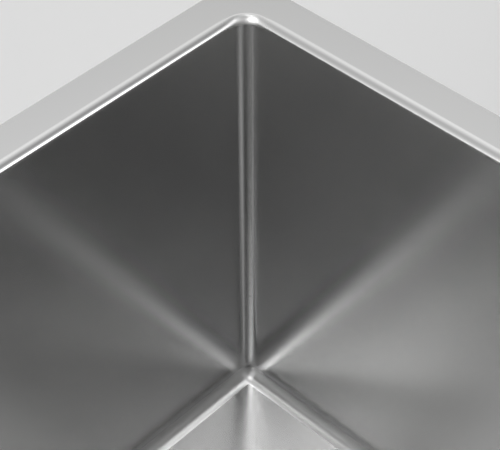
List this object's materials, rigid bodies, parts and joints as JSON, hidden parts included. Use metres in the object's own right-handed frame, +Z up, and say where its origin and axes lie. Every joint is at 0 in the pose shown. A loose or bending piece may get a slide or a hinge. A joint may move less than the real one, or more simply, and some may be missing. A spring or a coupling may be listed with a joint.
{
  "type": "undermount kitchen sink",
  "caption": "Single-bowl undermount kitchen sink with tight-cornered walls, lift-out basket strainer, sound pads and swinging worktop clips.",
  "frame": {"origin": "centre of the bowl's mouth, level with the face of the flange that meets the worktop", "axes": "+Z up out of the bowl, +X along its long side, +Y towards the back"},
  "size_m": [0.598, 0.498, 0.3793],
  "materials": {
    "bowl_steel": "satin",
    "strainer_steel": "polished",
    "gasket_foam": "matte",
    "washer_rubber": "matte",
    "fibre": "matte",
    "lock_nut_plastic": "semi-gloss",
    "tail_washer_plastic": "matte",
    "tailpiece_chrome": "polished",
    "slip_nut_plastic": "semi-gloss",
    "basket_steel": "polished",
    "stem_steel": "polished",
    "knob_metal": "polished",
    "stopper_rubber": "matte",
    "stem_nut_steel": "polished",
    "spring_steel": "spring steel",
    "pad_rubber": "matte",
    "clip_zinc": "zinc plated",
    "wing_nut_zinc": "zinc plated",
    "stud_zinc": "zinc plated",
    "clip_washer_zinc": "zinc plated"
  },
  "bodies": {
    "sink": {"bowl": "bowl_steel", "left_wall_pad": "pad_rubber", "left_floor_pad": "pad_rubber", "right_wall_pad": "pad_rubber", "right_floor_pad": "pad_rubber", "front_wall_pad": "pad_rubber", "front_floor_pad": "pad_rubber", "back_wall_pad": "pad_rubber", "back_floor_pad": "pad_rubber", "strainer_body": "strainer_steel", "top_gasket": "gasket_foam", "rubber_washer": "washer_rubber", "friction_ring": "fibre", "lock_nut": "lock_nut_plastic", "tail_washer": "tail_washer_plastic", "tailpiece": "tailpiece_chrome", "slip_nut": "slip_nut_plastic", "clip_studs": "stud_zinc", "clip_washers": "clip_washer_zinc"},
    "stopper": {"stem": "stem_steel", "knob": "knob_metal", "stopper_seal": "stopper_rubber", "stem_nut": "stem_nut_steel", "catch_ring": "spring_steel"},
    "basket": {"basket_cup": "basket_steel"},
    "clip_1": {"clip_1": "clip_zinc"},
    "wing_nut_1": {"wing_nut_1": "wing_nut_zinc"},
    "clip_2": {"clip_2": "clip_zinc"},
    "wing_nut_2": {"wing_nut_2": "wing_nut_zinc"},
    "clip_3": {"clip_3": "clip_zinc"},
    "wing_nut_3": {"wing_nut_3": "wing_nut_zinc"},
    "clip_4": {"clip_4": "clip_zinc"},
    "wing_nut_4": {"wing_nut_4": "wing_nut_zinc"},
    "clip_5": {"clip_5": "clip_zinc"},
    "wing_nut_5": {"wing_nut_5": "wing_nut_zinc"},
    "clip_6": {"clip_6": "clip_zinc"},
    "wing_nut_6": {"wing_nut_6": "wing_nut_zinc"}
  },
  "joints": [
    {"name": "basket_lift", "type": "slide", "parent": "sink", "child": "stopper", "axis": [0, 0, 1], "range_m": [0, 0.27]},
    {"name": "basket_turn", "type": "hinge", "parent": "stopper", "child": "basket", "pos_m": [0, 0, -0.2365], "axis": [0, 0, 1], "continuous": true},
    {"name": "clip_1_swing", "type": "hinge", "parent": "sink", "child": "clip_1", "pos_m": [-0.12, -0.227, -0.013], "axis": [0, 0, 1], "range_deg": [-90, 90]},
    {"name": "wing_nut_1_turn", "type": "hinge", "parent": "sink", "child": "wing_nut_1", "pos_m": [-0.12, -0.227, -0.02], "axis": [0, 0, 1], "continuous": true},
    {"name": "clip_2_swing", "type": "hinge", "parent": "sink", "child": "clip_2", "pos_m": [0.12, -0.227, -0.013], "axis": [0, 0, 1], "range_deg": [-90, 90]},
    {"name": "wing_nut_2_turn", "type": "hinge", "parent": "sink", "child": "wing_nut_2", "pos_m": [0.12, -0.227, -0.02], "axis": [0, 0, 1], "continuous": true},
    {"name": "clip_3_swing", "type": "hinge", "parent": "sink", "child": "clip_3", "pos_m": [0.277, 0, -0.013], "axis": [0, 0, 1], "range_deg": [-90, 90]},
    {"name": "wing_nut_3_turn", "type": "hinge", "parent": "sink", "child": "wing_nut_3", "pos_m": [0.277, 0, -0.02], "axis": [0, 0, 1], "continuous": true},
    {"name": "clip_4_swing", "type": "hinge", "parent": "sink", "child": "clip_4", "pos_m": [0.12, 0.227, -0.013], "axis": [0, 0, 1], "range_deg": [-90, 90]},
    {"name": "wing_nut_4_turn", "type": "hinge", "parent": "sink", "child": "wing_nut_4", "pos_m": [0.12, 0.227, -0.02], "axis": [0, 0, 1], "continuous": true},
    {"name": "clip_5_swing", "type": "hinge", "parent": "sink", "child": "clip_5", "pos_m": [-0.12, 0.227, -0.013], "axis": [0, 0, 1], "range_deg": [-90, 90]},
    {"name": "wing_nut_5_turn", "type": "hinge", "parent": "sink", "child": "wing_nut_5", "pos_m": [-0.12, 0.227, -0.02], "axis": [0, 0, 1], "continuous": true},
    {"name": "clip_6_swing", "type": "hinge", "parent": "sink", "child": "clip_6", "pos_m": [-0.277, 0, -0.013], "axis": [0, 0, 1], "range_deg": [-90, 90]},
    {"name": "wing_nut_6_turn", "type": "hinge", "parent": "sink", "child": "wing_nut_6", "pos_m": [-0.277, 0, -0.02], "axis": [0, 0, 1], "continuous": true}
  ]
}
